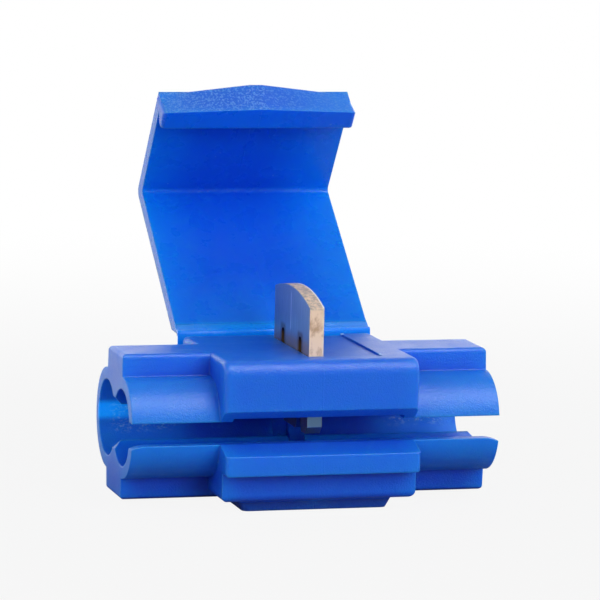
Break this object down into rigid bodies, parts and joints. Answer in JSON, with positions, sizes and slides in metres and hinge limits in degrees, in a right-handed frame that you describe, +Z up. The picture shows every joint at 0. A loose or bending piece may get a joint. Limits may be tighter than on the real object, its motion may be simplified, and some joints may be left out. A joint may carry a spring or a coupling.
{
  "type": "wire tap splice connector",
  "caption": "Snap-lid wire tap: a moulded housing with paired wire channels and a side entry slot, a hinged flap lid with a latch hook, and a slotted blade contact.",
  "frame": {"origin": "centre of the foot's underside, under the middle of the blade contact", "axes": "+X along the wires, -Y towards the side entry slot, +Y towards the lid's hinge, +Z up from the foot"},
  "size_m": [0.025, 0.0253, 0.0264],
  "materials": {
    "moulding": "translucent blue moulded polypropylene, satin to gloss",
    "blade": "tin-plated faces, bare sheared edges"
  },
  "bodies": {
    "housing": {"housing": "moulding"},
    "lid": {"lid": "moulding"},
    "contact": {"contact": "blade"}
  },
  "joints": [
    {"name": "lid_hinge", "type": "hinge", "parent": "housing", "child": "lid", "pos_m": [0, 0.0063, 0.01015], "axis": [1, 0, 0], "range_deg": [0, 135]},
    {"name": "contact_press", "type": "slide", "parent": "housing", "child": "contact", "axis": [0, 0, -1], "range_m": [0, 0.00404]}
  ],
  "couplings": [
    {"joint": "lid_hinge", "follows": "contact_press", "rad_per_m": 583.2}
  ]
}
